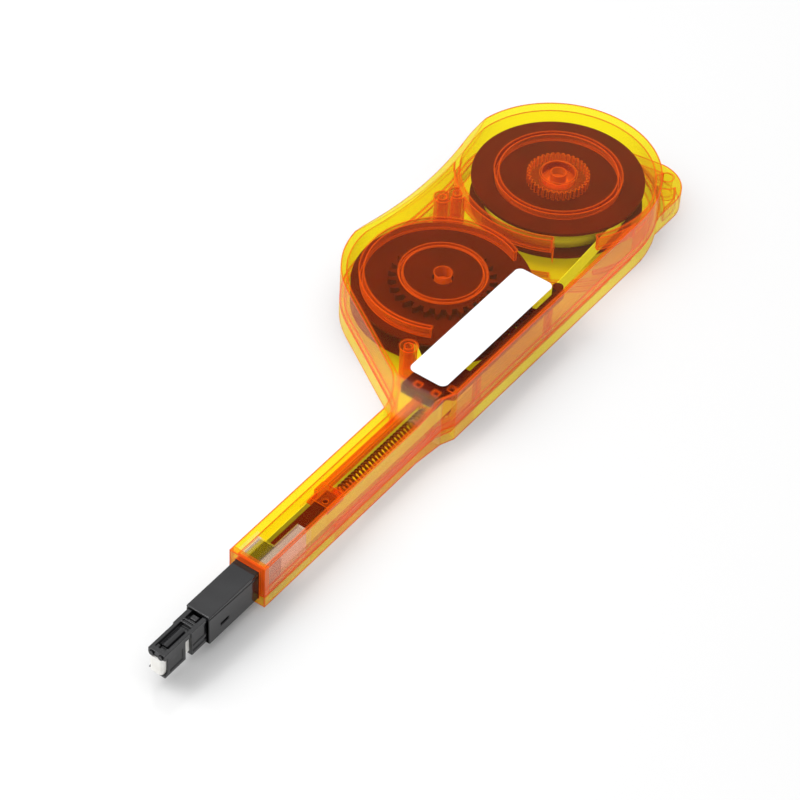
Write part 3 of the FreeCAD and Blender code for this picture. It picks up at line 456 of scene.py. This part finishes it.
ROLL_BORE = 0.012
ROLL_STEPS = 72
GROOVE_DEPTH = 0.00012
ROLL_CHAMFER = 0.00004


def piece(name, mesh, body, slot):
    """A finished piece from a bmesh, riding on a body."""
    data = bpy.data.meshes.new(name)
    mesh.to_mesh(data)
    mesh.free()
    item = bpy.data.objects.new(name, data)
    bpy.context.scene.collection.objects.link(item)
    data.materials.append(FINISHES[slot])
    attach(item, body)
    return item


def smooth_piece(name, mesh, body, slot):
    """A piece that was spun, its faces turned outward and shaded as one surface."""
    bmesh.ops.recalc_face_normals(mesh, faces=mesh.faces)
    for face in mesh.faces:
        face.smooth = True
    return piece(name, mesh, body, slot)


def coil(name, start, end, y, z, radius, wire, turns, body, slot):
    """A round-wire compression spring along X, its two ends closed by flat faces."""
    mesh = bmesh.new()
    ring = bmesh.ops.create_circle(mesh, segments=WIRE_SIDES, radius=wire / 2)["verts"]
    bmesh.ops.rotate(mesh, verts=ring, cent=(0, 0, 0), matrix=Matrix.Rotation(math.pi / 2, 3, "X"))
    bmesh.ops.translate(mesh, verts=ring, vec=(start + wire / 2, y, z + radius))
    edges = list({edge for vert in ring for edge in vert.link_edges})
    steps = turns * TURN_STEPS
    rise = (end - start - wire) / steps
    bmesh.ops.spin(mesh, geom=ring + edges, cent=(0, y, z), axis=(1, 0, 0), dvec=(rise, 0, 0),
                   angle=turns * 2 * math.pi, steps=steps, use_merge=False, use_duplicate=False)
    bmesh.ops.holes_fill(mesh, edges=[edge for edge in mesh.edges if edge.is_boundary])
    return smooth_piece(name, mesh, body, slot)


def make_spring():
    """The fine return spring, which squashes against its far end as the nozzle slides in; here a coil of
    fixed length on the housing.
    """
    low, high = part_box("return_spring")
    spring = coil("fine_spring", low[0], high[0], (low[1] + high[1]) / 2, (low[2] + high[2]) / 2,
                  (high[1] - low[1]) / 2 - WIRE / 2, WIRE, SPRING_TURNS, "housing", "spring_steel")
    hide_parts("return_spring")
    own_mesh(spring)


def node_mesh(node):
    """A working copy of a CAD node's mesh, its loose triangles joined into whole faces."""
    mesh = bmesh.new()
    mesh.from_mesh(frame["nodes"][node].data)
    bmesh.ops.remove_doubles(mesh, verts=mesh.verts, dist=WELD)
    bmesh.ops.dissolve_limit(mesh, angle_limit=FLAT_ANGLE, verts=mesh.verts, edges=mesh.edges)
    return mesh


def rounded(node, body, slot, width, play):
    """A node's shape with its moulded edges softened, drawn in by its play."""
    mesh = node_mesh(node)
    low, high = (Vector(corner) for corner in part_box(node))
    drawn_in = [1 - 2 * play / (far - near) for near, far in zip(low, high)]
    bmesh.ops.scale(mesh, verts=mesh.verts, vec=drawn_in,
                    space=Matrix.Translation((low + high) / -2))
    for face in mesh.faces:
        face.smooth = True
    for edge in mesh.edges:
        edge.smooth = edge.calc_face_angle(0) < SMOOTH_ANGLE
    item = piece("soft_" + node, mesh, body, slot)
    soften = item.modifiers.new("soften", "BEVEL")
    soften.width = width
    soften.segments = BEVEL_STEPS
    soften.limit_method = "ANGLE"
    soften.angle_limit = BEVEL_ANGLE
    soften.use_clamp_overlap = False
    soften.harden_normals = True
    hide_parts(node)


def wound_roll(node, body, layers):
    """Tape wound on a reel, with a shallow groove between its layers on top."""
    low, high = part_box(node)
    centre = Vector(((low[0] + high[0]) / 2, (low[1] + high[1]) / 2, 0))
    radius = (high[0] - low[0]) / 2
    step = (radius - ROLL_BORE) / layers
    outline = [(ROLL_BORE, low[2]), (ROLL_BORE, high[2])]
    for layer in range(layers):
        inner = ROLL_BORE + step * layer
        outline += [(inner + step * 0.3, high[2]), (inner + step * 0.75, high[2] - GROOVE_DEPTH)]
    outline += [(radius, high[2] - ROLL_CHAMFER), (radius, low[2] + ROLL_CHAMFER)]
    mesh = bmesh.new()
    verts = [mesh.verts.new((centre.x + across, centre.y, height)) for across, height in outline]
    edges = [mesh.edges.new(pair) for pair in zip(verts, verts[1:] + verts[:1])]
    bmesh.ops.spin(mesh, geom=verts + edges, cent=centre, axis=(0, 0, 1), angle=2 * math.pi,
                   steps=ROLL_STEPS, use_merge=True, use_duplicate=False)
    item = smooth_piece("wound_" + node, mesh, body, "tape_white")
    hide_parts(node)


# ---------------------------------------------------------------- stage and light
FLOOR_SIZE = 6
FLOOR_TONE = (0.84, 0.84, 0.84, 1)

# name, place, size, power
LAMPS = (
    ("window", (-0.5, 0.7, 0.9), 0.8, 7),
    ("high_lamp", (0.982, 1.195, 2.569), 0.32, 7),
)
# the sky's height where it starts to brighten and where it stops, and its strength at each
SKY_LEVEL = (0.66, 0.9, 0.48, 1.45)


def make_stage():
    floor = bpy.data.meshes.new("floor")
    mesh = bmesh.new()
    bmesh.ops.create_grid(mesh, x_segments=1, y_segments=1, size=FLOOR_SIZE)
    mesh.to_mesh(floor)
    mesh.free()
    item = bpy.data.objects.new("floor", floor)
    bpy.context.scene.collection.objects.link(item)
    finish = Finish("floor_paper")
    finish.surface(Base_Color=FLOOR_TONE, Roughness=0.9, Specular_IOR_Level=0.1)
    floor.materials.append(finish.material)


def make_light(name, place, size, power):
    lamp = bpy.data.lights.new(name, "AREA")
    lamp.size = size
    lamp.energy = power
    item = bpy.data.objects.new(name, lamp)
    spot = Vector(place)
    turn = (AIM - spot).to_track_quat("-Z", "Y").to_matrix()
    item.matrix_world = Matrix.Translation(spot) @ turn.to_4x4()
    bpy.context.scene.collection.objects.link(item)


def light_scene():
    """A wide soft box overhead, dimmer towards the sides, a white backdrop and two lamps."""
    world = bpy.data.worlds.new("studio")
    bpy.context.scene.world = world
    world.use_nodes = True
    sky = Nodes(world.node_tree)
    direction = sky.node("ShaderNodeTexCoord", output="Generated")
    height = sky.node("ShaderNodeSeparateXYZ", inputs=[direction], output="Z")
    level = sky.node("ShaderNodeMapRange", inputs=[height, *SKY_LEVEL])
    backdrop = sky.ray("Is Camera Ray", "Is Glossy Ray", "Is Transmission Ray")
    strength = sky.node("ShaderNodeMix", inputs={"Factor": backdrop, "A": level, "B": 1.0},
                        output="Result")
    background = world.node_tree.nodes["Background"]
    sky.feed(background.inputs["Color"], (1, 1, 1, 1))
    sky.feed(background.inputs["Strength"], strength)
    for lamp in LAMPS:
        make_light(*lamp)


bpy.context.scene.view_settings.view_transform = "Standard"
bpy.context.scene.cycles.transparent_max_bounces = 64
place_camera()
light_scene()
make_stage()
dress_frame()
make_spring()
for row in SOFTENED:
    rounded(*row)
wound_roll("takeup_roll", "takeup", 14)
wound_roll("supply_roll", "supply", 20)
